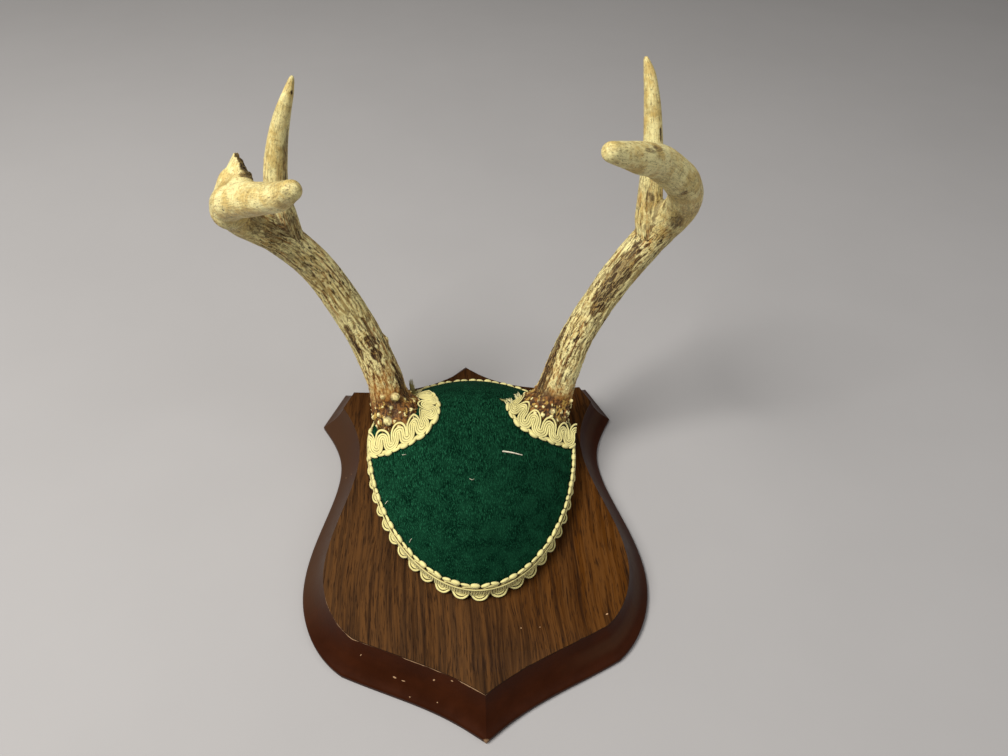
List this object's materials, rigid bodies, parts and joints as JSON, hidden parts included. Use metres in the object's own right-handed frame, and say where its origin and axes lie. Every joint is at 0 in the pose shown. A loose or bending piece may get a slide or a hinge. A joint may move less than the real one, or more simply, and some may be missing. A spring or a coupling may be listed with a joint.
{
  "type": "antler plaque mount",
  "caption": "Small deer antlers on a felt-covered skull plate edged with gimp braid, on a shield-shaped wood-grain board with a moulded edge and a sawtooth hanger at the back.",
  "frame": {"origin": "centre of the board's flat back face", "axes": "+Z out of the board's face, along which the antlers rise; -Y towards the shield's lower tip, which points down when the plaque hangs; +X to the right seen from the front"},
  "size_m": [0.2322, 0.2452, 0.2316],
  "materials": {
    "board_edge": "satin dark red-brown paint on the moulded edge and back of a composite board, with small pale chips",
    "board_face": "satin walnut-grain sheet, mid brown with darker streaks running the long way and a faint knot",
    "felt": "matte bottle-green felt with short matted fibres",
    "braid": "cream scroll gimp braid of looped cords",
    "antler": "antler bone, cream to olive with brown lengthwise streaks and pits, darker and pearled at the burr, smoother at the points",
    "steel": "zinc-plated steel"
  },
  "bodies": {
    "root": {"board_core": "board_edge", "board_face": "board_face", "skull_plate": "felt", "braid_rim": "braid", "braid_left": "braid", "braid_right": "braid", "antler_left_burr": "antler", "antler_left_beam": "antler", "antler_left_tine": "antler", "antler_left_tip": "antler", "antler_left_stub": "antler", "antler_right_burr": "antler", "antler_right_beam": "antler", "antler_right_tine": "antler", "antler_right_tip": "antler", "back_screw_1": "steel", "back_screw_2": "steel", "hanger_plate": "steel", "hanger_brad_left": "steel", "hanger_brad_right": "steel"}
  },
  "joints": []
}
